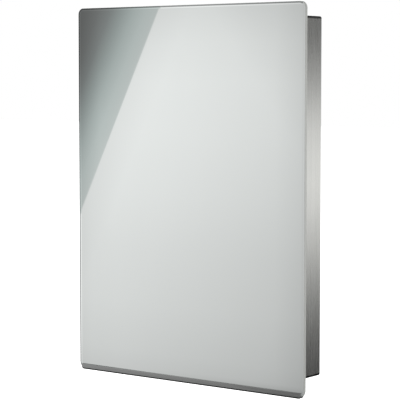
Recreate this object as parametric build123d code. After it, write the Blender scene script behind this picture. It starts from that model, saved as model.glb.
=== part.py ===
from build123d import *
import os

# Slim wall cabinet with a frameless mirror door. Millimetres.
# Origin: centre of the cabinet's back face, on the wall. +Y points into the wall, so the
# door faces -Y. +X is to the right of a person facing the mirror. +Z is up.

# ---------------------------------------------------------------- driving dimensions
panel_width = 300.0            # mirror glass, side to side
panel_height = 400.0           # top of the glass to the underside of the grip strip
panel_front = 50.0             # front of the glass, measured out from the wall
glass_thickness = 4.0
glass_corner_radius = 6.7
glass_arris = 0.4              # ground bevel round the edges of the mirror and the shelves

body_width = 275.0
body_height = 370.0
body_depth = 42.0
body_top_below_glass = 13.5    # overhang of the glass above the body
sheet = 1.0                    # stainless sheet of the body and door
bend_radius = 2.0              # outside radius of every fold
front_lip = 9.0                # returns folded in round the front opening
lip_corner_radius = 3.0

coat_thickness = 0.2           # silvering and its paint
tape_thickness = 0.8

strip_sheet = 0.8
strip_front_leg = 6.2          # height of the grip strip seen from the front
strip_rear_leg = 9.0
strip_fold_radius = 1.7
strip_end_inset = 3.5          # from the side of the glass to the end of the strip
strip_corner_radius = 3.0      # lower corners of the strip, seen from the front
gasket_side = 0.4
gasket_bottom = 0.7

screw_hole_radius = 2.75       # wall screws up to 5 mm
screw_spacing_x = 210.0
screw_spacing_z = 300.0

hinge_length = 330.0
knuckle_count = 11
knuckle_radius = 2.2
knuckle_gap = 0.3
pin_radius = 1.2
pin_clearance = 0.05           # radial, door knuckles only
body_leaf_thickness = 1.2
body_leaf_reach = 10.8         # from the hinge axis towards the wall
door_leaf_thickness = 1.0
door_leaf_reach = 19.7         # from the hinge axis towards the middle of the door
knuckle_to_body = 0.5          # free space between the turning knuckles and the body
notch_clearance = 0.4          # free space between one leaf and the other leaf's knuckles

rivet_radius = 1.2
rivet_hole_radius = 1.25
rivet_head_radius = 2.2
body_rivet_head = 0.9
body_rivet_tail = 1.0
door_rivet_head = 0.5
door_rivet_tail = 0.6
rivet_spacing = 75.0
rivet_rows = (-2, -1, 0, 1, 2)

inner_panel_width = 220.0      # double skin on the inside of the door
inner_panel_height = 330.0
inner_panel_depth = 6.0

track_width = 16.0
track_depth = 4.0
track_length = 336.0
track_centre = 19.0            # distance of the track's middle from the wall
slot_pitch = 20.0
slot_count = 16
slot_width = 3.0
slot_height = 8.0

shelf_thickness = 4.0
shelf_front = 35.5             # front and back edges, measured out from the wall
shelf_back = 3.0
shelf_end_gap = 0.5
shelf_corner_radius = 2.5
shelf_slots = {"lower": 4, "upper": 10}    # which slot of the track holds each shelf
ledge_thickness = 1.5
ledge_reach = 11.0
ledge_width = 13.0
clip_drop = 11.0
clip_bend = 0.7                # inside radius of the clip's bend
tongue_side_gap = 0.2
tongue_end_gap = 1.0

catch_height = 40.0
catch_position = 118.0         # each catch, above and below the middle
catch_inner_edge = 114.0
catch_front = 43.0
catch_back = 31.0
catch_clearance = 0.5          # free space beside the side wall and beside the return
catch_round = 1.5
magnet_width = 8.0
magnet_height = 24.0
magnet_depth = 5.0
magnet_proud = 0.1
strike_width = 12.0
strike_height = 32.0
strike_thickness = 0.7
strike_round = 1.5
catch_screw_offset = 14.0
catch_screw_radius = 1.45
catch_screw_hole = 1.6
catch_screw_length = 8.0
catch_screw_head_radius = 2.7
catch_screw_head_height = 1.2
recess_width = 0.7
recess_depth = 0.6

bumper_radius = 3.6
bumper_gap = 0.1               # free space between the bumpers and the shut door

tape_width = 12.0
tape_length = 340.0
tape_spacing = 50.0

# ---------------------------------------------------------------- places that follow
glass_front = -panel_front
glass_back = glass_front + glass_thickness
coat_back = glass_back + coat_thickness
door_sheet_front = coat_back + tape_thickness
door_sheet_back = door_sheet_front + sheet
door_leaf_back = door_sheet_back + door_leaf_thickness
body_front = -body_depth
lip_back = body_front + sheet

body_side = body_width / 2
body_top = body_height / 2
wall_inside = body_side - sheet
floor_inside = -(body_top - sheet)
opening_half_width = body_side - front_lip
opening_half_height = body_top - front_lip

glass_top = body_top + body_top_below_glass
strip_bottom = glass_top - panel_height
glass_bottom = strip_bottom + strip_sheet + gasket_bottom
glass_middle = (glass_top + glass_bottom) / 2
glass_height = glass_top - glass_bottom

hinge_x = -(body_side + knuckle_to_body + knuckle_radius)
hinge_y = door_sheet_back + knuckle_radius
knuckle_length = hinge_length / knuckle_count

track_face = wall_inside - track_depth
catch_centre_x = (catch_inner_edge + opening_half_width) / 2


# ---------------------------------------------------------------- helpers
def block(x, y, z):
    """A box between the two values of each pair."""
    size = [abs(pair[1] - pair[0]) for pair in (x, y, z)]
    middle = [(pair[0] + pair[1]) / 2 for pair in (x, y, z)]
    return Pos(*middle) * Box(*size)


def rod(point, direction, radius, length):
    """A cylinder that starts at a point and runs along a direction."""
    return extrude(Plane(point, z_dir=direction) * Circle(radius), length)


def rounded_panel(width, height, radius, y, z_middle):
    """A flat panel facing -Y with rounded corners."""
    outline = Plane.XZ * RectangleRounded(width, height, radius)
    return Pos(0, y[1], z_middle) * extrude(outline, abs(y[1] - y[0]))


def mirrored(shape):
    """The same part on the other side of the cabinet."""
    return mirror(shape, about=Plane.YZ)


def save(shapes, node):
    """Write one node: a single solid, or a group of separate identical ones."""
    solids = shapes if isinstance(shapes, list) else [shapes]
    export_step(Compound(children=[s for shape in solids for s in shape.solids()]), f"parts/{node}.step")


def hinge_span(index):
    """Lowest and highest point of one knuckle, without its end gaps."""
    low = -hinge_length / 2 + index * knuckle_length
    return low + knuckle_gap / 2, low + knuckle_length - knuckle_gap / 2


# ---------------------------------------------------------------- cabinet
def cabinet_body():
    """Box folded from one sheet, its corners welded, with returns round the front."""
    skin = block((-body_side, body_side), (body_front, 0), (-body_top, body_top))
    skin = fillet(skin.edges(), bend_radius)
    hollow = block((-wall_inside, wall_inside), (lip_back, -sheet), (floor_inside, -floor_inside))
    hollow = fillet(hollow.edges(), bend_radius - sheet)
    opening = rounded_panel(2 * opening_half_width, 2 * opening_half_height, lip_corner_radius,
                            (body_front - sheet, lip_back + sheet), 0)
    shape = skin - hollow - opening
    for x in (-screw_spacing_x / 2, screw_spacing_x / 2):
        for z in (-screw_spacing_z / 2, screw_spacing_z / 2):
            shape -= rod((x, -2 * sheet, z), (0, 1, 0), screw_hole_radius, 3 * sheet)
    for x, z in catch_screw_places():
        shape -= rod((x, body_front - sheet, z), (0, 1, 0), catch_screw_hole, 3 * sheet)
    for z in rivet_heights():
        shape -= rod((-body_side - sheet, body_rivet_y(), z), (1, 0, 0), rivet_hole_radius, 3 * sheet)
    return shape


def door_bumpers():
    """Soft discs at the corners of the front returns, where the door lands."""
    inset = front_lip / 2
    thickness = abs(door_sheet_back - body_front) - bumper_gap
    discs = []
    for x in (-body_side + inset, body_side - inset):
        for z in (-body_top + inset, body_top - inset):
            disc = rod((x, body_front, z), (0, -1, 0), bumper_radius, thickness)
            discs.append(fillet(disc.edges().sort_by(Axis.Y)[0], thickness / 3))
    return discs


# ---------------------------------------------------------------- hinge
def rivet_heights():
    return [row * rivet_spacing for row in rivet_rows]


def body_rivet_y():
    return hinge_y + (knuckle_radius + body_leaf_reach) / 2


def door_rivet_x():
    return hinge_x + door_leaf_reach - 2 * rivet_head_radius


def knuckles(indexes, bore):
    """The rolled knuckles of one leaf, as rings round the hinge pin."""
    rings = []
    for index in indexes:
        low, high = hinge_span(index)
        ring = rod((hinge_x, hinge_y, low), (0, 0, 1), knuckle_radius, high - low)
        rings.append(ring - rod((hinge_x, hinge_y, low), (0, 0, 1), bore, high - low))
    return rings


def notched(leaf, indexes, reach):
    """Cut a leaf away beside the other leaf's knuckles."""
    for index in indexes:
        low, high = hinge_span(index)
        leaf -= block((hinge_x - reach, hinge_x + reach), (hinge_y - reach, hinge_y + reach),
                      (low - knuckle_gap, high + knuckle_gap))
    return leaf


body_knuckles = range(0, knuckle_count, 2)
door_knuckles = range(1, knuckle_count, 2)


def hinge_body_leaf():
    """Leaf riveted to the outside of the left wall, under the overhang of the glass."""
    leaf = block((-body_side - body_leaf_thickness, -body_side), (hinge_y, hinge_y + body_leaf_reach),
                 (-hinge_length / 2 + knuckle_gap / 2, hinge_length / 2 - knuckle_gap / 2))
    leaf = notched(leaf, door_knuckles, knuckle_radius + notch_clearance)
    for ring in knuckles(body_knuckles, pin_radius):
        leaf += ring
    leaf -= rod((hinge_x, hinge_y, -hinge_length), (0, 0, 1), pin_radius, 2 * hinge_length)
    for z in rivet_heights():
        leaf -= rod((-body_side - 2 * body_leaf_thickness, body_rivet_y(), z), (1, 0, 0),
                    rivet_hole_radius, 3 * body_leaf_thickness)
    return leaf


def hinge_door_leaf():
    """Leaf riveted to the back of the door sheet."""
    leaf = block((hinge_x, hinge_x + door_leaf_reach), (door_sheet_back, door_leaf_back),
                 (-hinge_length / 2 + knuckle_length, hinge_length / 2 - knuckle_length))
    leaf = notched(leaf, body_knuckles, knuckle_radius + notch_clearance)
    for ring in knuckles(door_knuckles, pin_radius + pin_clearance):
        leaf += ring
    leaf -= rod((hinge_x, hinge_y, -hinge_length), (0, 0, 1), pin_radius + pin_clearance, 2 * hinge_length)
    for z in rivet_heights()[1:-1]:
        leaf -= rod((door_rivet_x(), door_sheet_back - sheet, z), (0, 1, 0), rivet_hole_radius, 3 * sheet)
    return leaf


def hinge_pin():
    return rod((hinge_x, hinge_y, -hinge_length / 2), (0, 0, 1), pin_radius, hinge_length)


def body_leaf_rivets():
    """Domed heads outside, formed tails inside the wall."""
    grip = body_leaf_thickness + sheet
    rivets = []
    for z in rivet_heights():
        head = rod((-body_side - body_leaf_thickness, body_rivet_y(), z), (-1, 0, 0),
                   rivet_head_radius, body_rivet_head)
        head = fillet(head.edges().sort_by(Axis.X)[0], 0.6 * body_rivet_head)
        shank = rod((-body_side - body_leaf_thickness, body_rivet_y(), z), (1, 0, 0), rivet_radius, grip)
        tail = rod((-wall_inside, body_rivet_y(), z), (1, 0, 0), 0.85 * rivet_head_radius, body_rivet_tail)
        rivets.append(head + shank + tail)
    return rivets


def door_leaf_rivets():
    """Flat heads on the leaf, tails in the thickness of the mounting tape."""
    rivets = []
    for z in rivet_heights()[1:-1]:
        head = rod((door_rivet_x(), door_leaf_back, z), (0, 1, 0), rivet_head_radius, door_rivet_head)
        head = fillet(head.edges().sort_by(Axis.Y)[-1], 0.5 * door_rivet_head)
        shank = rod((door_rivet_x(), door_sheet_front, z), (0, 1, 0), rivet_radius,
                    sheet + door_leaf_thickness)
        tail = rod((door_rivet_x(), door_sheet_front, z), (0, -1, 0), 0.8 * rivet_head_radius,
                   door_rivet_tail)
        rivets.append(head + shank + tail)
    return rivets


# ---------------------------------------------------------------- door
def mirror_glass():
    pane = rounded_panel(panel_width, glass_height, glass_corner_radius, (glass_front, glass_back),
                         glass_middle)
    rims = pane.faces().sort_by(Axis.Y)
    return chamfer(rims[0].edges() + rims[-1].edges(), glass_arris)


def mirror_coat():
    """Silvering with its protective paint, up to the ground bevel of the glass."""
    return rounded_panel(panel_width - 2 * glass_arris, glass_height - 2 * glass_arris,
                         glass_corner_radius - glass_arris, (glass_back, coat_back), glass_middle)


def mounting_tape():
    """Upright strips of foam tape that carry the glass on the door sheet."""
    strips = []
    for place in (-2, -1, 0, 1, 2):
        x = place * tape_spacing
        strips.append(block((x - tape_width / 2, x + tape_width / 2), (coat_back, door_sheet_front),
                            (-tape_length / 2, tape_length / 2)))
    return strips


def door_sheet():
    """Flat steel sheet behind the mirror, the size of the cabinet's front."""
    shape = rounded_panel(2 * wall_inside, body_height - 3 * sheet, bend_radius,
                          (door_sheet_front, door_sheet_back), 0)
    for z in rivet_heights()[1:-1]:
        shape -= rod((door_rivet_x(), door_sheet_front - sheet, z), (0, 1, 0), rivet_hole_radius, 3 * sheet)
    return shape


def door_inner_panel():
    """Folded tray welded to the back of the door sheet, open side towards the sheet."""
    half_width = inner_panel_width / 2
    half_height = inner_panel_height / 2
    back = door_sheet_back + inner_panel_depth
    skin = block((-half_width, half_width), (door_sheet_back, back), (-half_height, half_height))
    corners = skin.edges().filter_by(Axis.Y) + skin.faces().sort_by(Axis.Y)[-1].edges()
    skin = fillet(corners, bend_radius)
    hollow = block((-half_width + sheet, half_width - sheet), (door_sheet_back - sheet, back - sheet),
                   (-half_height + sheet, half_height - sheet))
    corners = hollow.edges().filter_by(Axis.Y) + hollow.faces().sort_by(Axis.Y)[-1].edges()
    return skin - fillet(corners, bend_radius - sheet)


def folded_bar(length, y, z, fold_radius):
    """A bar along X whose two lower long edges are rounded."""
    bar = block((-length / 2, length / 2), y, z)
    return fillet(bar.edges().filter_by(Axis.X).group_by(Axis.Z)[0], fold_radius)


def rounded_ends(bar, bottom):
    """Round the lower corners of a bar, seen from the front."""
    outline = rounded_panel(strip_length, panel_height, strip_corner_radius, (2 * glass_front, 0),
                            bottom + panel_height / 2)
    return bar & outline


strip_length = panel_width - 2 * strip_end_inset
gasket_front = glass_front - gasket_side
gasket_back = coat_back + gasket_side
gasket_floor = glass_bottom - gasket_bottom


def grip_strip():
    """Folded steel strip round the bottom edge of the glass, used to pull the door."""
    front_top = strip_bottom + strip_front_leg
    back_top = strip_bottom + strip_rear_leg
    front = gasket_front - strip_sheet
    bar = folded_bar(strip_length, (front, gasket_back + strip_sheet), (strip_bottom, back_top),
                     strip_fold_radius)
    bar -= block((-strip_length, strip_length), (front - 1, glass_front), (front_top, back_top + 1))
    bar -= folded_bar(2 * strip_length, (gasket_front, gasket_back), (gasket_floor, back_top + 1),
                      strip_fold_radius - strip_sheet)
    return rounded_ends(bar, strip_bottom)


def strip_gasket():
    """Glazing gasket between the strip and the glass."""
    top = strip_bottom + strip_front_leg - gasket_side
    bar = folded_bar(strip_length, (gasket_front, gasket_back), (gasket_floor, top),
                     strip_fold_radius - strip_sheet)
    bar -= block((-strip_length, strip_length), (glass_front, coat_back), (glass_bottom, top + 1))
    return rounded_ends(bar, strip_bottom)


# ---------------------------------------------------------------- magnetic catches
def catch_screw_places():
    x = (opening_half_width + body_side) / 2
    return [(x, side * catch_position + end * catch_screw_offset) for side in (-1, 1) for end in (-1, 1)]


def catch_housing(z):
    """Moulded block behind the right return, its nose in the front opening."""
    half = catch_height / 2
    foot = block((catch_inner_edge, wall_inside - catch_clearance), (lip_back, -catch_back),
                 (z - half, z + half))
    foot = fillet(foot.edges().filter_by(Axis.Z).group_by(Axis.X)[-1], bend_radius - sheet)
    nose = block((catch_inner_edge, opening_half_width - catch_clearance), (-catch_front, lip_back),
                 (z - half, z + half))
    shape = foot + nose
    shape = fillet(shape.edges().filter_by(Axis.Y).group_by(Axis.X)[0], catch_round)
    shape -= magnet_block(z)
    for x, screw_z in catch_screw_places():
        shape -= rod((x, body_front, screw_z), (0, 1, 0), catch_screw_radius, catch_screw_length + sheet)
    return shape


def magnet_block(z):
    front = -catch_front - magnet_proud
    return block((catch_centre_x - magnet_width / 2, catch_centre_x + magnet_width / 2),
                 (front, front + magnet_depth), (z - magnet_height / 2, z + magnet_height / 2))


def strike_plate(z):
    """Thin steel plate on the back of the door sheet, opposite a magnet."""
    plate = block((catch_centre_x - strike_width / 2, catch_centre_x + strike_width / 2),
                  (door_sheet_back, door_sheet_back + strike_thickness),
                  (z - strike_height / 2, z + strike_height / 2))
    return fillet(plate.edges().filter_by(Axis.Y), strike_round)


def catch_screws():
    """Pan-head screws that hold the catches to the right return."""
    screws = []
    for x, z in catch_screw_places():
        head = rod((x, body_front, z), (0, -1, 0), catch_screw_head_radius, catch_screw_head_height)
        head = fillet(head.edges().sort_by(Axis.Y)[0], 0.7 * catch_screw_head_height)
        shank = rod((x, body_front, z), (0, 1, 0), catch_screw_radius, catch_screw_length)
        head_front = body_front - catch_screw_head_height
        reach = 0.6 * catch_screw_head_radius
        across = block((x - reach, x + reach), (head_front - 1, head_front + recess_depth),
                       (z - recess_width / 2, z + recess_width / 2))
        upright = block((x - recess_width / 2, x + recess_width / 2),
                        (head_front - 1, head_front + recess_depth), (z - reach, z + reach))
        screws.append(head + shank - across - upright)
    return screws


# ---------------------------------------------------------------- shelves
def slot_height_at(index):
    return (index - (slot_count - 1) / 2) * slot_pitch


def shelf_track():
    """Shallow channel welded to the inside of the left wall, with a row of slots."""
    near, far = -track_centre - track_width / 2, -track_centre + track_width / 2
    half = track_length / 2
    bar = block((-wall_inside, -track_face), (near, far), (-half, half))
    long_edges = bar.edges().filter_by(Axis.Z).group_by(Axis.X)[-1]
    bar = fillet(long_edges, bend_radius / 2)
    bar -= block((-wall_inside - sheet, -track_face - sheet), (near + sheet, far - sheet),
                 (-half - 1, half + 1))
    for index in range(slot_count):
        z = slot_height_at(index)
        bar -= block((-track_face - 2 * sheet, -track_face + sheet),
                     (-track_centre - slot_width / 2, -track_centre + slot_width / 2),
                     (z - slot_height / 2, z + slot_height / 2))
    return bar


def shelf_clip(z):
    """Bent clip hooked into a slot of the left track, its ledge under the shelf."""
    near, far = -track_centre - ledge_width / 2, -track_centre + ledge_width / 2
    face = -track_face
    ledge = block((face, face + ledge_reach), (near, far), (z - ledge_thickness, z))
    back = block((face, face + ledge_thickness), (near, far), (z - clip_drop, z))
    bent = ledge + back
    shape = fillet(bent.edges().filter_by(Axis.Y).group_by(Axis.Z)[-1].sort_by(Axis.X)[-1], clip_bend)
    tongue_low = z - clip_drop + (clip_drop - slot_height) / 2 + tongue_end_gap
    tongue_half = slot_width / 2 - tongue_side_gap
    tongue = block((face - 2 * sheet, face), (-track_centre - tongue_half, -track_centre + tongue_half),
                   (tongue_low, tongue_low + slot_height - 2 * tongue_end_gap))
    return shape + tongue


def shelf_seat(index):
    """Height of a clip's ledge above its slot's middle, so that its tongue is in the slot."""
    return slot_height_at(index) + clip_drop / 2


def glass_shelf(z):
    half = track_face - shelf_end_gap
    pane = block((-half, half), (-shelf_front, -shelf_back), (z, z + shelf_thickness))
    pane = fillet(pane.edges().filter_by(Axis.Z), shelf_corner_radius)
    faces = pane.faces().sort_by(Axis.Z)
    return chamfer(faces[0].edges() + faces[-1].edges(), glass_arris)


# ---------------------------------------------------------------- write the parts
os.makedirs("parts", exist_ok=True)

save(cabinet_body(), "cabinet_body")
save(door_bumpers(), "door_bumpers")

save(hinge_body_leaf(), "hinge_body_leaf")
save(hinge_door_leaf(), "hinge_door_leaf")
save(hinge_pin(), "hinge_pin")
save(body_leaf_rivets(), "body_leaf_rivets")
save(door_leaf_rivets(), "door_leaf_rivets")

save(mirror_glass(), "mirror_glass")
save(mirror_coat(), "mirror_coat")
save(mounting_tape(), "mounting_tape")
save(door_sheet(), "door_sheet")
save(door_inner_panel(), "door_inner_panel")
save(grip_strip(), "grip_strip")
save(strip_gasket(), "strip_gasket")

for name, height in (("upper", catch_position), ("lower", -catch_position)):
    save(catch_housing(height), f"catch_housing_{name}")
    save(magnet_block(height), f"catch_magnet_{name}")
    save(strike_plate(height), f"strike_plate_{name}")
save(catch_screws(), "catch_screws")

save(shelf_track(), "shelf_track_left")
save(mirrored(shelf_track()), "shelf_track_right")
for name, index in shelf_slots.items():
    seat = shelf_seat(index)
    save(shelf_clip(seat), f"shelf_clip_{name}_left")
    save(mirrored(shelf_clip(seat)), f"shelf_clip_{name}_right")
    save(glass_shelf(seat), f"glass_shelf_{name}")
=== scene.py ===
import math

import bmesh
import bpy
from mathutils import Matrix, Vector

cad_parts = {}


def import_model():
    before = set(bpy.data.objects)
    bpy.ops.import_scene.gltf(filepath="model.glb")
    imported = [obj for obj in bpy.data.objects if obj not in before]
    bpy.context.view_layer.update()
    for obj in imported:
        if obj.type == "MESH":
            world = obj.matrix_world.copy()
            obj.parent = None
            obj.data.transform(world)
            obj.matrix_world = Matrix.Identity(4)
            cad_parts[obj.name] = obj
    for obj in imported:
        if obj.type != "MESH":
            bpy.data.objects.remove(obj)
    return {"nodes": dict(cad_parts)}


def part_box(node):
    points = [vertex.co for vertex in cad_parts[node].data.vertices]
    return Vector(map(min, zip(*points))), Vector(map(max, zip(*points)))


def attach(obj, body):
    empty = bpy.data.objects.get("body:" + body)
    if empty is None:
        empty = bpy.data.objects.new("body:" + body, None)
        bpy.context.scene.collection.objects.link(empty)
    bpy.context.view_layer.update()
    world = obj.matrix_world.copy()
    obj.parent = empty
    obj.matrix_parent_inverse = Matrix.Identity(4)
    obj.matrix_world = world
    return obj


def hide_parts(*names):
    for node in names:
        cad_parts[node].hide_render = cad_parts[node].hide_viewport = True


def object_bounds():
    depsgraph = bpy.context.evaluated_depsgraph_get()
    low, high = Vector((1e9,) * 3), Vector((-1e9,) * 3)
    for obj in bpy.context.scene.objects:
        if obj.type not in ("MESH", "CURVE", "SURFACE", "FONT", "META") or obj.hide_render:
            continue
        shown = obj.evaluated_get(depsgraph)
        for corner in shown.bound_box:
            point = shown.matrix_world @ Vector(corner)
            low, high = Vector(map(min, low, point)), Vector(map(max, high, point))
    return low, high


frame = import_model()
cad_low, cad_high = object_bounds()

MM = 0.001
X, Y, Z = 0, 1, 2
scene = bpy.context.scene
nodes = frame["nodes"]
centre = (cad_low + cad_high) / 2


# ------------------------------------------------------------------ camera
# a long lens, to the right of the panel and a little above its middle
VIEW_AZIMUTH = math.radians(37.37)
VIEW_ELEVATION = math.radians(4.17)
VIEW_DISTANCE = 1.763
LENS = 148.75
AIM = centre + Vector((0.05, -0.2, -6.04)) * MM


def place_camera():
    towards = Vector((math.sin(VIEW_AZIMUTH) * math.cos(VIEW_ELEVATION),
                      -math.cos(VIEW_AZIMUTH) * math.cos(VIEW_ELEVATION), math.sin(VIEW_ELEVATION)))
    data = bpy.data.cameras.new("camera")
    data.lens = LENS
    data.sensor_width = 36.0
    data.clip_start = 0.05
    data.clip_end = 100.0
    camera = bpy.data.objects.new("camera", data)
    camera.location = AIM + towards * VIEW_DISTANCE
    camera.rotation_mode = "QUATERNION"
    camera.rotation_quaternion = (-towards).to_track_quat("-Z", "Y")
    scene.collection.objects.link(camera)
    scene.camera = camera
    return camera


camera = place_camera()


# ------------------------------------------------------------------ shader helpers
class Nodes:
    """Short names for the nodes of one node tree."""

    def __init__(self, tree):
        self.tree = tree

    def node(self, kind, **settings):
        made = self.tree.nodes.new(kind)
        for key, value in settings.items():
            setattr(made, key, value)
        return made

    def link(self, source, target):
        self.tree.links.new(source, target)

    def put(self, socket, value):
        """Link a socket, or set its constant."""
        if isinstance(value, bpy.types.NodeSocket):
            self.link(value, socket)
        else:
            socket.default_value = value

    def math(self, operation, *values):
        made = self.node("ShaderNodeMath", operation=operation)
        for socket, value in zip(made.inputs, values):
            self.put(socket, value)
        return made.outputs[0]

    def vector(self, operation, *values):
        made = self.node("ShaderNodeVectorMath", operation=operation)
        for socket, value in zip(made.inputs, values):
            self.put(socket, value)
        return made.outputs["Value" if operation == "DOT_PRODUCT" else "Vector"]

    def split(self, vector):
        """The X, Y and Z of a vector."""
        made = self.node("ShaderNodeSeparateXYZ")
        self.link(vector, made.inputs[0])
        return made.outputs

    def place(self, kind="Object"):
        """Where on the object a point is, in metres, or another of the texture coordinates."""
        return self.node("ShaderNodeTexCoord").outputs[kind]

    def spread(self, value, low, high, from_low=0.3, from_high=0.7, ease="LINEAR"):
        """Turn one range of values into another."""
        made = self.node("ShaderNodeMapRange", interpolation_type=ease)
        limits = {"From Min": from_low, "From Max": from_high, "To Min": low, "To Max": high}
        for name, number in limits.items():
            made.inputs[name].default_value = number
        self.link(value, made.inputs["Value"])
        return made.outputs["Result"]

    def ramp(self, value, *stops, ease="LINEAR"):
        """Colour ramp: each stop is a position with a grey or a colour."""
        made = self.node("ShaderNodeValToRGB")
        made.color_ramp.interpolation = ease
        elements = made.color_ramp.elements
        while len(elements) < len(stops):
            elements.new(0.5)
        for element, (position, tone) in zip(elements, stops):
            element.position = position
            element.color = (*(tone if isinstance(tone, tuple) else (tone,) * 3), 1.0)
        self.link(value, made.inputs["Fac"])
        return made.outputs["Color"]

    def mix(self, a, b, factor=1.0, blend="MIX"):
        """Blend two colours; the Mix node has its colours at inputs 6 and 7, and at output 2."""
        made = self.node("ShaderNodeMix", data_type="RGBA", blend_type=blend)
        for index, value in ((0, factor), (6, a), (7, b)):
            self.put(made.inputs[index], value)
        return made.outputs[2]

    def product(self, colour, *others):
        """A colour multiplied by each of the others."""
        for other in others:
            colour = self.mix(colour, other, 1.0, "MULTIPLY")
        return colour

    def noise(self, scale, detail=4.0, roughness=0.55, stretch=(1.0, 1.0, 1.0)):
        """Noise in the object's own metres, stretched along each axis."""
        mapping = self.node("ShaderNodeMapping")
        mapping.inputs["Scale"].default_value = stretch
        self.link(self.place(), mapping.inputs["Vector"])
        made = self.node("ShaderNodeTexNoise")
        made.inputs["Scale"].default_value = scale
        made.inputs["Detail"].default_value = detail
        made.inputs["Roughness"].default_value = roughness
        self.link(mapping.outputs["Vector"], made.inputs["Vector"])
        return made.outputs["Fac"]


class Surface(Nodes):
    """A material made from one Principled shader."""

    def __init__(self, name, **constants):
        self.material = bpy.data.materials.new(name)
        self.material.use_nodes = True
        super().__init__(self.material.node_tree)
        self.principled = self.tree.nodes["Principled BSDF"]
        for socket, value in constants.items():
            self.principled.inputs[socket.replace("_", " ")].default_value = value

    def feed(self, **sockets):
        """Link values that vary over the surface to the shader."""
        for socket, value in sockets.items():
            self.link(value, self.principled.inputs[socket.replace("_", " ")])

    def bump(self, value, distance, strength=1.0):
        made = self.node("ShaderNodeBump")
        made.inputs["Distance"].default_value = distance
        made.inputs["Strength"].default_value = strength
        self.link(value, made.inputs["Height"])
        self.feed(Normal=made.outputs["Normal"])


# ------------------------------------------------------------------ brushed steel
GRAIN_STRETCH = 0.01           # of the noise's scale, along the grain
SHADE_FADE = 0.5 * MM          # from the wall's tone to the painted shade of a bend
BODY_PAINTED_SHADE = 2.7 * MM           # the painted shade on the body's sides, at their top and bottom
STRIP_PAINTED_SHADE = 2.0 * MM          # the painted shade on the strip's front leg, at its bottom


def painted_shade_mask(surface, normal, shade):
    """1 on the bends that run level, where shade is painted, and 0 on the walls. shade gives an
    axis, and the heights below and above which a wall that faces this axis gets the same painted shade as a
    bend."""
    tilt = surface.math("ABSOLUTE", normal[Z])
    mask = surface.math("MULTIPLY", surface.spread(tilt, 0.0, 1.0, 0.12, 0.35, "SMOOTHSTEP"),
                        surface.spread(tilt, 1.0, 0.0, 0.955, 0.995, "SMOOTHSTEP"))
    if shade:
        axis, below, above = shade
        height = surface.split(surface.place())[Z]
        facing = surface.spread(surface.math("ABSOLUTE", normal[axis]), 0.0, 1.0, 0.5, 0.8)
        for start, end in ((below, below - SHADE_FADE), (above, above + SHADE_FADE)):
            shaded = surface.math("MULTIPLY", facing, surface.spread(height, 0.0, 1.0, start, end))
            mask = surface.math("MAXIMUM", mask, shaded)
    return mask


def spread_across(surface, grain, fold_grain, folded):
    """Spread the reflections across the grain, by the shader's tangent."""
    along, along_fold = ([float(axis == a) for axis in (X, Y, Z)] for a in (grain, fold_grain))
    # the Mix node has its vectors at inputs 4 and 5, and at output 1
    direction = surface.node("ShaderNodeMix", data_type="VECTOR")
    surface.link(folded, direction.inputs[0])
    direction.inputs[4].default_value = along
    direction.inputs[5].default_value = along_fold
    facing = surface.node("ShaderNodeNewGeometry").outputs["Normal"]
    across = surface.vector("CROSS_PRODUCT", direction.outputs[1], facing)
    surface.feed(Tangent=surface.vector("NORMALIZE", across))


def brushed_steel(name, grain, fold_grain, light, dark, painted_shade_tone, roughness, shade=None):
    """Stainless sheet brushed along the grain's axis and, where it is folded to face that axis, along
    fold_grain. light and dark are its streaks, and roughness is a lowest and a highest value.
    painted_shade_tone is the colour of shade painted on its bends and on the bands of wall that shade gives."""
    surface = Surface(name, Metallic=1.0, Anisotropic=0.6)
    normal = surface.split(surface.place("Normal"))
    folded = surface.spread(surface.math("ABSOLUTE", normal[grain]), 0.0, 1.0, 0.55, 0.85, "SMOOTHSTEP")
    painted_bend_shade = painted_shade_mask(surface, normal, shade)

    def streaks(scale, detail, rough):
        along_axes = []
        for axis in (grain, fold_grain):
            stretch = [1.0, 1.0, 1.0]
            stretch[axis] = GRAIN_STRETCH
            along_axes.append(surface.noise(scale, detail, rough, stretch))
        return surface.mix(*along_axes, folded)

    fine = streaks(2200, detail=5, rough=0.7)
    broad = streaks(330, detail=3, rough=0.65)
    clouds = surface.noise(13, detail=3)
    streaked = surface.mix(surface.ramp(fine, (0.34, dark), (0.68, light)),
                           surface.ramp(broad, (0.34, dark), (0.66, light)), 0.45)
    marks = surface.ramp(clouds, (0.3, (0.94, 0.94, 0.945)), (0.7, (1.0, 1.0, 1.0)))
    sheet = surface.product(streaked, marks)
    # painted shade on the bends and on the bands of wall that shade gives: a dark colour, less specular tint
    # and less roughness
    surface.feed(Base_Color=surface.mix(sheet, (*painted_shade_tone, 1.0), painted_bend_shade),
                 Specular_Tint=surface.ramp(painted_bend_shade, (0.0, 1.0), (1.0, 0.25)),
                 Roughness=surface.math("MULTIPLY", surface.spread(fine, *roughness),
                                        surface.spread(painted_bend_shade, 1.0, 0.35, 0.0, 1.0)))
    surface.bump(fine, 0.004 * MM, 0.5)
    spread_across(surface, grain, fold_grain, folded)
    return surface.material


# ------------------------------------------------------------------ glass and small parts
def silver(name, tone):
    """Silvering behind polished glass, with the faintest wipe marks."""
    surface = Surface(name, Metallic=1.0)
    wipes = surface.noise(7, detail=5, roughness=0.6, stretch=(1.0, 1.0, 0.4))
    # a tone below 1 darkens all the silver: painted shade, used for the mirror's rim
    darker_silver, bright = (tuple(tone * part for part in colour)
                    for colour in ((0.893, 0.922, 0.908), (0.905, 0.932, 0.919)))
    surface.feed(Base_Color=surface.ramp(wipes, (0.3, darker_silver), (0.7, bright)),
                 Roughness=surface.spread(wipes, 0.01, 0.025))
    return surface.material


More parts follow.
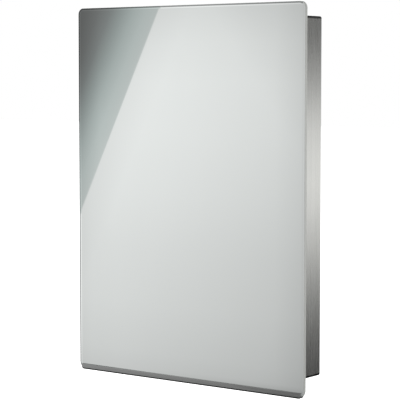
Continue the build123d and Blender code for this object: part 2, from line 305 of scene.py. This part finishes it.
def ground_glass():
    """Ground and polished edge of float glass, grey and slightly frosted."""
    surface = Surface("ground_glass", Metallic=0.0, IOR=1.52, Coat_Weight=0.5, Coat_Roughness=0.1)
    grinding = surface.noise(1500, roughness=0.6, stretch=(0.05, 1.0, 0.05))
    surface.feed(Base_Color=surface.ramp(grinding, (0.3, (0.36, 0.37, 0.355)), (0.7, (0.42, 0.43, 0.41))),
                 Roughness=surface.spread(grinding, 0.25, 0.4))
    surface.bump(grinding, 0.01 * MM, 0.4)
    return surface.material


def polished_arris():
    """The narrow bevel of the glass: clear polish over depth, so mostly reflections."""
    surface = Surface("polished_arris", Metallic=0.0, IOR=1.52, Coat_Weight=1.0, Coat_Roughness=0.05)
    polish = surface.noise(600, detail=3)
    surface.feed(Base_Color=surface.ramp(polish, (0.3, (0.295, 0.305, 0.295)), (0.7, (0.345, 0.355, 0.345))),
                 Roughness=surface.spread(polish, 0.08, 0.16))
    return surface.material


def clear_glass(name):
    """Shelf glass, a little green."""
    surface = Surface(name, Metallic=0.0, IOR=1.5, Transmission_Weight=1.0)
    smears = surface.noise(30)
    surface.feed(Base_Color=surface.ramp(smears, (0.3, (0.80, 0.90, 0.87)), (0.7, (0.86, 0.94, 0.91))),
                 Roughness=surface.spread(smears, 0.02, 0.06))
    return surface.material


def green_edge():
    """Ground edge of a shelf, where light that travels along the sheet comes out green."""
    surface = Surface("green_edge", Metallic=0.0, IOR=1.5, Transmission_Weight=0.35)
    grinding = surface.noise(1500, roughness=0.6, stretch=(0.05, 0.05, 1.0))
    surface.feed(Base_Color=surface.ramp(grinding, (0.3, (0.25, 0.50, 0.42)), (0.7, (0.38, 0.62, 0.53))),
                 Roughness=surface.spread(grinding, 0.28, 0.42))
    surface.bump(grinding, 0.01 * MM, 0.4)
    return surface.material


def mirror_paint():
    """Grey protective paint on the back of the mirror, with a roller texture."""
    surface = Surface("mirror_paint", Metallic=0.0)
    stipple = surface.noise(700)
    patches = surface.noise(18, detail=3)
    surface.feed(Base_Color=surface.ramp(patches, (0.3, (0.34, 0.36, 0.37)), (0.7, (0.40, 0.42, 0.43))),
                 Roughness=surface.spread(stipple, 0.42, 0.6))
    surface.bump(stipple, 0.03 * MM, 0.5)
    return surface.material


def matt(name, light, dark, skin_scale, roughness, depth):
    """Plastic, rubber or foam: patchy colour and a fine skin texture."""
    surface = Surface(name, Metallic=0.0)
    skin = surface.noise(skin_scale)
    patches = surface.noise(50, detail=3)
    surface.feed(Base_Color=surface.ramp(patches, (0.3, dark), (0.7, light)),
                 Roughness=surface.spread(skin, *roughness))
    surface.bump(skin, depth, 0.6)
    return surface.material


def plated(name, light, dark):
    """Zinc or nickel plate on small hardware, with tumbling scratches."""
    surface = Surface(name, Metallic=1.0)
    scratches = surface.noise(900, detail=6, roughness=0.75)
    patches = surface.noise(120, detail=3)
    surface.feed(Base_Color=surface.ramp(patches, (0.3, dark), (0.7, light)),
                 Roughness=surface.spread(scratches, 0.2, 0.42))
    surface.bump(scratches, 0.01 * MM, 0.4)
    return surface.material


# ------------------------------------------------------------------ materials of the CAD nodes
def give(material, *names):
    for name in names:
        slots = nodes[name].data.materials
        slots.clear()
        slots.append(material)


body_low, body_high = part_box("cabinet_body")
strip_low, strip_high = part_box("grip_strip")
# each steel's painted_shade_tone paints shade on its bends; the body and the strip also paint it on bands of
# their walls
body_steel = brushed_steel(
    "body_steel", grain=Z, fold_grain=Y, light=(0.695, 0.70, 0.685), dark=(0.61, 0.615, 0.60),
    painted_shade_tone=(0.23, 0.23, 0.23), roughness=(0.22, 0.33),
    shade=(X, body_low.z + BODY_PAINTED_SHADE, body_high.z - BODY_PAINTED_SHADE))
strip_steel = brushed_steel(
    "strip_steel", grain=X, fold_grain=Y, light=(0.465, 0.47, 0.465), dark=(0.29, 0.295, 0.29),
    painted_shade_tone=(0.08, 0.08, 0.08), roughness=(0.14, 0.22),
    shade=(Y, strip_low.z + STRIP_PAINTED_SHADE, strip_high.z))
hinge_steel = brushed_steel(
    "hinge_steel", grain=Z, fold_grain=Y, light=(0.68, 0.68, 0.67), dark=(0.55, 0.55, 0.54),
    painted_shade_tone=(0.40, 0.40, 0.40), roughness=(0.20, 0.32))
zinc = plated("zinc_plate", light=(0.78, 0.79, 0.80), dark=(0.66, 0.67, 0.69))
nickel = plated("nickel_plate", light=(0.72, 0.70, 0.67), dark=(0.60, 0.58, 0.56))
plastic = matt("grey_plastic", light=(0.66, 0.66, 0.65), dark=(0.6, 0.6, 0.59), skin_scale=3200,
               roughness=(0.38, 0.52), depth=0.02 * MM)
rubber = matt("soft_rubber", light=(0.10, 0.10, 0.105), dark=(0.06, 0.06, 0.063), skin_scale=2400,
              roughness=(0.6, 0.8), depth=0.03 * MM)
foam = matt("foam_tape", light=(0.08, 0.08, 0.082), dark=(0.03, 0.03, 0.032), skin_scale=3000,
            roughness=(0.75, 0.95), depth=0.08 * MM)
give(body_steel, "cabinet_body", "door_sheet", "door_inner_panel", "shelf_track_left", "shelf_track_right")
give(strip_steel, "grip_strip")
give(hinge_steel, "hinge_body_leaf", "hinge_door_leaf", "hinge_pin", "body_leaf_rivets", "door_leaf_rivets")
give(zinc, "catch_screws", "strike_plate_upper", "strike_plate_lower",
     *[name for name in nodes if name.startswith("shelf_clip")])
give(nickel, "catch_magnet_upper", "catch_magnet_lower")
give(plastic, "catch_housing_upper", "catch_housing_lower")
give(rubber, "strip_gasket", "door_bumpers")
give(foam, "mounting_tape")
give(mirror_paint(), "mirror_coat")


# ------------------------------------------------------------------ panes of glass
CORNER_STEPS = 14
MIRROR_CORNER = 6.7 * MM
SHELF_CORNER = 2.5 * MM
ARRIS = 0.2 * MM               # bevel between a face and the ground edge
SOFT_RIM = 3.0 * MM            # from the edge of the mirror to where its face starts to fall back
RIM_SHADE_BORDER = 1.6 * MM         # from the edge to where the face has fallen back, and where shade is painted on the silver
RIM_DROP = 0.018 * MM          # how far the face falls back
RIM_SHADE_TONE = 0.42               # of the silver's brightness, in the border of painted shade


def rounded_outline(low, high, thick, level, radius, inset):
    """Points round a rectangle with rounded corners, drawn in by an inset, at a level in its thickness."""
    across, up = [axis for axis in (X, Y, Z) if axis != thick]
    bend = radius - inset
    corners = ((high[across] - radius, high[up] - radius), (low[across] + radius, high[up] - radius),
               (low[across] + radius, low[up] + radius), (high[across] - radius, low[up] + radius))
    points = []
    for quarter, (a, b) in enumerate(corners):
        for step in range(CORNER_STEPS + 1):
            angle = math.radians(90 * (quarter + step / CORNER_STEPS))
            point = Vector()
            point[across] = a + bend * math.cos(angle)
            point[up] = b + bend * math.sin(angle)
            point[thick] = level
            points.append(point)
    return points


def pane(name, low, high, thick, radius, rings, materials):
    """A sheet of glass. Each ring is an inset, a level, and the material from there to the next ring;
    the first ring closes with the first material and the last ring with its own."""
    bm = bmesh.new()
    loops = []
    for inset, level, _ in rings:
        outline = rounded_outline(low, high, thick, level, radius, inset)
        loops.append([bm.verts.new(point) for point in outline])
    bm.faces.new(loops[0]).material_index = 0
    bm.faces.new(list(reversed(loops[-1]))).material_index = rings[-1][2]
    for (_, _, band), near, far in zip(rings, loops, loops[1:]):
        for index in range(len(near)):
            after = (index + 1) % len(near)
            bm.faces.new((near[index], far[index], far[after], near[after])).material_index = band
    bmesh.ops.recalc_face_normals(bm, faces=bm.faces[:])
    mesh = bpy.data.meshes.new(name)
    bm.to_mesh(mesh)
    bm.free()
    for material in materials:
        mesh.materials.append(material)
    made = bpy.data.objects.new(name, mesh)
    scene.collection.objects.link(made)
    return made


def mirror_pane():
    """The mirror: silver seen through a flat front, a soft rim, a border of silver with painted shade, a
    polished arris and a ground edge. The shade is painted only along the left and top edges."""
    low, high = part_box("mirror_glass")
    face, edge, arris, paint, darker_silver = range(5)
    front = low.y + RIM_DROP
    rings = [(SOFT_RIM, low.y, face), (RIM_SHADE_BORDER, front, darker_silver), (ARRIS, front, arris),
             (0.0, front + ARRIS, edge), (0.0, high.y - ARRIS, arris), (ARRIS, high.y, paint)]
    made = pane("mirror_pane", low, high, Y, MIRROR_CORNER, rings,
                (silver("mirror_silver", 1.0), ground_glass(), polished_arris(),
                 nodes["mirror_coat"].data.materials[0], silver("rim_shade_silver", RIM_SHADE_TONE)))
    # the right and bottom border keeps the face's silver, so the painted shade lies only at the left and top
    for polygon in made.data.polygons:
        at_right = polygon.center.x > high.x - 2 * RIM_SHADE_BORDER
        at_bottom = polygon.center.z < low.z + 2 * RIM_SHADE_BORDER
        if polygon.material_index == darker_silver and (at_right or at_bottom):
            polygon.material_index = face
    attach(made, "door")
    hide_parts("mirror_glass")


def shelf_pane(node):
    """A glass shelf whose ground edges show the green of the glass."""
    low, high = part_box(node)
    face, edge = range(2)
    rings = [(ARRIS, low.z, edge), (0.0, low.z + ARRIS, edge), (0.0, high.z - ARRIS, edge),
             (ARRIS, high.z, face)]
    made = pane(f"{node}_pane", low, high, Z, SHELF_CORNER, rings, (shelf_face, shelf_edge))
    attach(made, "cabinet")
    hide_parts(node)


mirror_pane()
shelf_face = clear_glass("shelf_glass")
shelf_edge = green_edge()
for node in ("glass_shelf_upper", "glass_shelf_lower"):
    shelf_pane(node)


# ------------------------------------------------------------------ cards of light
CARD_FADE = 0.14               # of a card's width and height, along each of its borders


def light_card(name, corner, across, up, strength, paint):
    """A picture of light that only reflections see, fading out at its borders: paint gives its colour at
    u across and v up, which run from 0 to 1."""
    mesh = bpy.data.meshes.new(name)
    mesh.from_pydata([corner, corner + across, corner + across + up, corner + up], [], [(0, 1, 2, 3)])
    layer = mesh.uv_layers.new(name="UVMap")
    for loop, uv in zip(layer.data, ((0, 0), (1, 0), (1, 1), (0, 1))):
        loop.uv = uv
    card = bpy.data.objects.new(name, mesh)
    scene.collection.objects.link(card)
    card.visible_camera = False
    card.visible_diffuse = False
    card.visible_shadow = False
    material = bpy.data.materials.new(name)
    material.use_nodes = True
    build = Nodes(material.node_tree)
    build.tree.nodes.clear()
    u, v, _ = build.split(build.place("UV"))
    edges = ((0.0, 0.0), (CARD_FADE, 1.0), (1.0 - CARD_FADE, 1.0), (1.0, 0.0))
    fade = build.math("MULTIPLY", build.ramp(u, *edges), build.ramp(v, *edges))
    emission = build.node("ShaderNodeEmission")
    emission.inputs["Strength"].default_value = strength
    build.link(paint(build, u, v), emission.inputs["Color"])
    blend = build.node("ShaderNodeMixShader")
    build.link(fade, blend.inputs[0])
    build.link(build.node("ShaderNodeBsdfTransparent").outputs[0], blend.inputs[1])
    build.link(emission.outputs[0], blend.inputs[2])
    build.link(blend.outputs[0], build.node("ShaderNodeOutputMaterial").inputs["Surface"])
    mesh.materials.append(material)


def seen_in(axis, mirror_at, card_at, point):
    """Where the camera's look at a point of a flat mirror goes on to, on a card parallel to it."""
    eye = camera.location.copy()
    eye[axis] = 2 * mirror_at - eye[axis]
    return eye + (point - eye) * ((card_at - eye[axis]) / (mirror_at - eye[axis]))


PANEL_CARD_AWAY = 1.2          # metres in front of the mirror
PANEL_CARD_MARGIN = 0.5        # of the panel's width and height, past each of its edges
SLANT_TOP = 0.3833             # where the dark corner's edge meets the panel's top, from its left
SLANT = 0.6730                 # how fast that edge runs to the left, going down
PAST_THE_EDGE = 1.3            # how much brighter the soft rim's part of the picture is


def dark_corner(build, u, v, distance):
    """The dark corner: it lightens towards its slanting edge, and a thin haze lies over its top."""
    dark = build.ramp(build.math("ADD", distance, 0.5),
                      (0.10, 0.118), (0.20, (0.138, 0.138, 0.138)), (0.25, (0.165, 0.168, 0.168)),
                      (0.30, (0.212, 0.224, 0.224)), (0.35, (0.303, 0.334, 0.331)),
                      (0.40, (0.408, 0.449, 0.444)), (0.45, (0.487, 0.527, 0.522)),
                      (0.50, (0.53, 0.56, 0.555)))
    left_fall = build.ramp(u, (0.0, 0.84), (0.10, 1.0))
    top_fall = build.ramp(v, (0.5, 1.07), (0.7, 1.05), (0.86, 0.985), (1.0, 0.965))
    haze = build.spread(v, 0.0, 0.09, 0.85, 1.0)
    return build.mix(build.product(dark, left_fall, top_fall), (0.31, 0.33, 0.33, 1.0), haze)


def pale_field(build, u, v, below_top, card_v, distance):
    """The pale field: brightest left of its middle, and falling off to the right and to every edge."""
    slanted = build.math("ADD", u, build.math("MULTIPLY", below_top, 0.4))
    sideways = build.ramp(build.math("MULTIPLY", slanted, 0.6), (0.0, 1.0), (0.24, 1.0), (0.36, 0.965),
                          (0.55, 0.885), (0.72, 0.80), (0.84, 0.70))
    upwards = build.ramp(card_v, (0.0, 0.25), (0.15, 0.40), (0.25, 0.61), (0.285, 0.68), (0.35, 0.74),
                         (0.425, 0.775), (0.5, 0.83), (0.58, 0.868), (0.65, 0.875), (0.70, 0.84),
                         (0.75, 0.76), (1.0, 0.65))
    corner_fall = build.ramp(build.math("MULTIPLY", build.math("ADD", u, v), 0.5),
                             (0.80, 1.0), (0.85, 0.965), (0.90, 0.93), (0.975, 0.89))
    left_fall = build.ramp(u, (0.0, 0.94), (0.06, 0.98), (0.18, 1.0))
    right_fall = build.ramp(u, (0.88, 1.0), (1.0, 0.925))
    edge_fall = build.ramp(distance, (0.0, 0.93), (0.13, 1.0))
    field = build.product(sideways, upwards, corner_fall, left_fall, right_fall, edge_fall)
    # dark under the panel's bottom, the more so towards the right
    under = build.math("MULTIPLY", build.spread(v, 0.0, 1.0, 0.03, -0.04),
                       build.spread(u, 0.0, 0.8, 0.3, 1.0))
    return build.mix(field, (0.05, 0.05, 0.05, 1.0), under)


def panel_card():
    """What the mirror shows: a pale field of light, and a dark corner beyond its slanting edge."""
    low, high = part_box("mirror_glass")
    corners = ((low.x, cad_low.z), (high.x, cad_low.z), (low.x, cad_high.z))
    start, right, top = (seen_in(Y, low.y, low.y - PANEL_CARD_AWAY, Vector((x, low.y, z)))
                         for x, z in corners)
    across, up = right - start, top - start
    grow = 1 + 2 * PANEL_CARD_MARGIN
    slope = SLANT * (high.x - low.x) / (cad_high.z - cad_low.z)
    square_on = math.cos(math.atan(slope))

    def paint(build, card_u, card_v):
        # u and v run from 0 to 1 over the panel's own reflection, and are held past its left and its top
        panel_u = build.math("SUBTRACT", build.math("MULTIPLY", card_u, grow), PANEL_CARD_MARGIN)
        panel_v = build.math("SUBTRACT", build.math("MULTIPLY", card_v, grow), PANEL_CARD_MARGIN)
        u = build.math("MAXIMUM", panel_u, 0.0)
        v = build.math("MINIMUM", panel_v, 1.0)
        below_top = build.math("SUBTRACT", 1.0, v)
        past_edge = build.math("ADD", build.math("SUBTRACT", u, SLANT_TOP),
                               build.math("MULTIPLY", below_top, SLANT))
        distance = build.math("MULTIPLY", past_edge, square_on)
        picture = build.mix(dark_corner(build, u, v, distance),
                            pale_field(build, u, v, below_top, card_v, distance),
                            build.spread(distance, 0.0, 1.0, -0.002, 0.002))
        # the soft rim of the glass looks past the left and the top, where the picture is brighter
        left_of = build.ramp(build.math("ADD", panel_u, 0.5),
                             (0.10, 0.0), (0.35, 1.0), (0.42, 1.0), (0.495, 0.0))
        above = build.ramp(build.math("SUBTRACT", panel_v, 0.5),
                           (0.505, 0.0), (0.548, 1.0), (0.60, 1.0), (0.80, 0.0))
        brighter = build.product(picture, (PAST_THE_EDGE, PAST_THE_EDGE, PAST_THE_EDGE, 1.0))
        return build.mix(picture, brighter, build.math("MAXIMUM", left_of, above))

    corner = start - (across + up) * PANEL_CARD_MARGIN
    light_card("panel_card", corner, across * grow, up * grow, strength=1.0, paint=paint)


SIDE_CARD_AWAY = 0.6           # metres to the right of the body
SIDE_CARD_NEAR = 0.05          # metres from the wall plane back to the card
SIDE_CARD_DEPTH = 1.9          # metres from there to its far end
SIDE_CARD_MARGIN = 0.75        # of the side's height, past its top and its bottom


def side_card():
    """The light that the right side catches: a soft band, brightest above the middle."""
    low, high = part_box("cabinet_body")
    points = [Vector((high.x, high.y, z)) for z in (low.z, high.z)]
    bottom, top = (seen_in(X, high.x, high.x + SIDE_CARD_AWAY, point) for point in points)
    up = top - bottom
    corner = Vector((high.x + SIDE_CARD_AWAY, SIDE_CARD_NEAR, bottom.z - SIDE_CARD_MARGIN * up.z))

    def paint(build, u, v):
        band = build.ramp(build.spread(v, 0.0, 1.0, 0.1, 0.9), (0.14, 0.005), (0.27, 0.008), (0.35, 0.185),
                          (0.42, 0.555), (0.49, 0.925), (0.55, 0.965), (0.60, 0.85), (0.67, 0.36),
                          (0.73, 0.075), (0.78, 0.135), (0.84, 0.30), ease="EASE")
        return build.product(band, (1.0, 1.0, 0.98, 1.0))

    light_card("side_card", corner, Vector((0, SIDE_CARD_DEPTH, 0)),
               Vector((0, 0, up.z * (1 + 2 * SIDE_CARD_MARGIN))), strength=1.2, paint=paint)


# ------------------------------------------------------------------ studio
FLOOR_BELOW = 0.75             # metres under the cabinet, which hangs on a wall
FLOOR_REACH = 30.0             # metres from the middle to each side
SCREEN_GREY = (0.06, 0.06, 0.06, 1.0)
FLAG_BLACK = (0.02, 0.02, 0.02, 1.0)
FLAG_DIRECTION = (-0.79, 0.606, -0.07)


def floor():
    """A pale studio floor, well below the wall cabinet."""
    z = cad_low.z - FLOOR_BELOW
    corners = [(x * FLOOR_REACH, y * FLOOR_REACH, z) for x, y in ((-1, -1), (1, -1), (1, 1), (-1, 1))]
    mesh = bpy.data.meshes.new("floor")
    mesh.from_pydata(corners, [], [(0, 1, 2, 3)])
    made = bpy.data.objects.new("floor", mesh)
    scene.collection.objects.link(made)
    made.visible_glossy = False
    surface = Surface("floor", Base_Color=(0.9, 0.9, 0.9, 1.0), Roughness=0.8,
                      Emission_Color=(1.0, 1.0, 1.0, 1.0))
    surface.feed(Emission_Strength=surface.node("ShaderNodeLightPath").outputs["Is Camera Ray"])
    mesh.materials.append(surface.material)


def studio_light(build):
    """What the object sees round itself: a soft grey studio with dark screens behind the wall plane."""
    looking = build.place("Generated")
    right, back, up = build.split(looking)
    room = build.ramp(build.spread(up, 0.0, 1.0, -1.0, 1.0),
                      (0.0, 0.02), (0.20, 0.03), (0.235, 0.35), (0.29, 0.55), (0.42, 0.62), (0.55, 0.68),
                      (0.75, 0.72), (1.0, 0.80))
    # a ring of screens above and below, which the bends of the body look at
    ring = build.ramp(back, (0.73, 0.0), (0.78, 1.0), (0.85, 1.0), (0.91, 0.0), ease="EASE")
    steep = build.spread(build.math("ABSOLUTE", up), 0.0, 1.0, 0.10, 0.26, "SMOOTHSTEP")
    screened = build.mix(room, SCREEN_GREY, build.math("MULTIPLY", ring, steep))
    # a black flag behind the left edge of the glass draws its outline
    flag = build.spread(build.vector("DOT_PRODUCT", looking, FLAG_DIRECTION), 0.0, 1.0, 0.955, 0.975)
    flagged = build.mix(screened, FLAG_BLACK, flag)
    # a grey screen high on the left, whose slanting edge shows in the mirror from straight in front
    slant = build.math("ADD", build.math("MULTIPLY", right, 0.9), build.math("MULTIPLY", up, -0.45))
    shade = build.ramp(build.math("ADD", slant, 0.5),
                       (0.10, 1.0), (0.30, 0.62), (0.4385, 0.52), (0.4395, 1.0))
    in_front = build.spread(back, 1.0, 0.0, -0.9, -0.6)
    return build.product(flagged, build.mix((1.0, 1.0, 1.0, 1.0), shade, in_front))


def world():
    """White to the camera, and the studio to the object."""
    made = bpy.data.worlds.new("studio")
    scene.world = made
    made.use_nodes = True
    build = Nodes(made.node_tree)
    build.tree.nodes.clear()
    studio = build.node("ShaderNodeBackground")
    build.link(studio_light(build), studio.inputs["Color"])
    white = build.node("ShaderNodeBackground")
    white.inputs["Color"].default_value = (1.0, 1.0, 1.0, 1.0)
    chosen = build.node("ShaderNodeMixShader")
    build.link(build.node("ShaderNodeLightPath").outputs["Is Camera Ray"], chosen.inputs[0])
    build.link(studio.outputs[0], chosen.inputs[1])
    build.link(white.outputs[0], chosen.inputs[2])
    build.link(chosen.outputs[0], build.node("ShaderNodeOutputWorld").inputs["Surface"])


def softbox(name, place, size, watts):
    """A large soft lamp, aimed at the cabinet, that lights matt surfaces and leaves the reflections clean."""
    data = bpy.data.lights.new(name, "AREA")
    data.shape = "RECTANGLE"
    data.size, data.size_y = size
    data.energy = watts
    lamp = bpy.data.objects.new(name, data)
    lamp.location = place
    lamp.rotation_mode = "QUATERNION"
    lamp.rotation_quaternion = (centre - Vector(place)).to_track_quat("-Z", "Y")
    lamp.visible_glossy = False
    lamp.visible_camera = False
    scene.collection.objects.link(lamp)


panel_card()
side_card()
floor()
world()
softbox("key", (-0.9, -1.8, 1.2), size=(1.2, 1.2), watts=18.0)
softbox("fill", (1.8, -0.6, 0.5), size=(1.0, 1.4), watts=10.0)
softbox("back", (0.6, 1.8, 0.9), size=(1.4, 1.0), watts=10.0)

scene.view_settings.view_transform = "Standard"
scene.view_settings.look = "None"
